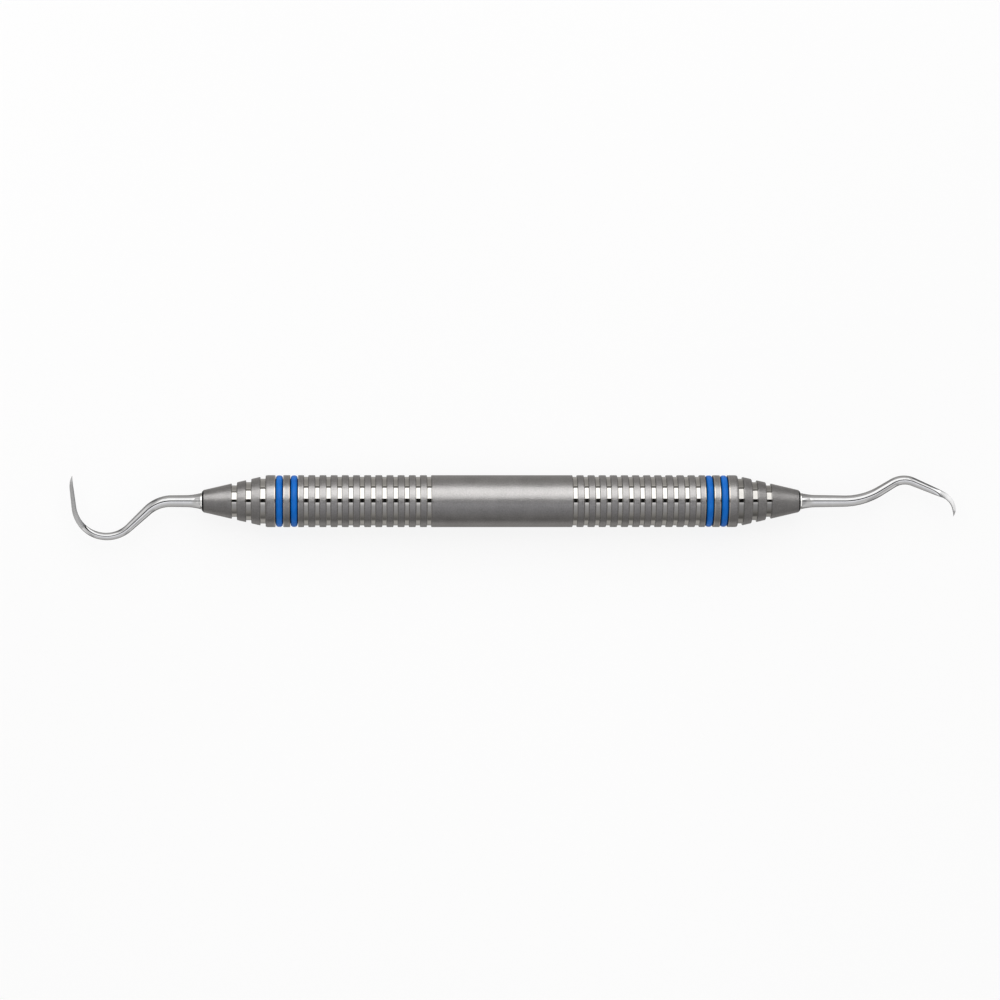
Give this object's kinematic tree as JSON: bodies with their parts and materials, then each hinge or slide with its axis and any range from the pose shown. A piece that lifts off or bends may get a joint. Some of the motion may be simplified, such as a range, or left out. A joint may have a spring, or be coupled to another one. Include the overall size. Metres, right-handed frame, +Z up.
{
  "type": "hand scaler",
  "caption": "Double-ended dental hand scaler: a hollow grooved steel handle with soft blue colour rings, a long hooked sickle tip at one end and a short angled sickle tip at the other.",
  "frame": {"origin": "on the handle's axis, at the middle of the handle's plain band", "axes": "+X along the handle from the long hooked tip to the short sickle tip; both tips are bent in the XY plane and the hook's point is turned towards +Y; +Z is up when the instrument lies flat on a table"},
  "size_m": [0.1627, 0.0119, 0.0096],
  "materials": {
    "satin_steel": "fine satin blasted, with polished groove floors",
    "polished_steel": "polished shank, finely ground blade",
    "silver_braze": "bright smooth fillet",
    "blue_silicone": "smooth semi-matt silicone"
  },
  "bodies": {
    "handle": {"barrel": "satin_steel", "hook_nose_cone": "satin_steel", "sickle_nose_cone": "satin_steel", "hook_tip": "polished_steel", "sickle_tip": "polished_steel", "hook_braze_ring": "silver_braze", "sickle_braze_ring": "silver_braze"},
    "hook_inner_ring": {"hook_inner_colour_ring": "blue_silicone"},
    "hook_outer_ring": {"hook_outer_colour_ring": "blue_silicone"},
    "sickle_inner_ring": {"sickle_inner_colour_ring": "blue_silicone"},
    "sickle_outer_ring": {"sickle_outer_colour_ring": "blue_silicone"}
  },
  "joints": [
    {"name": "hook_inner_ring_turn", "type": "hinge", "parent": "handle", "child": "hook_inner_ring", "pos_m": [-0.03805, 0, 0], "axis": [1, 0, 0], "continuous": true},
    {"name": "hook_outer_ring_turn", "type": "hinge", "parent": "handle", "child": "hook_outer_ring", "pos_m": [-0.04075, 0, 0], "axis": [1, 0, 0], "continuous": true},
    {"name": "sickle_inner_ring_turn", "type": "hinge", "parent": "handle", "child": "sickle_inner_ring", "pos_m": [0.03805, 0, 0], "axis": [1, 0, 0], "continuous": true},
    {"name": "sickle_outer_ring_turn", "type": "hinge", "parent": "handle", "child": "sickle_outer_ring", "pos_m": [0.04075, 0, 0], "axis": [1, 0, 0], "continuous": true}
  ]
}
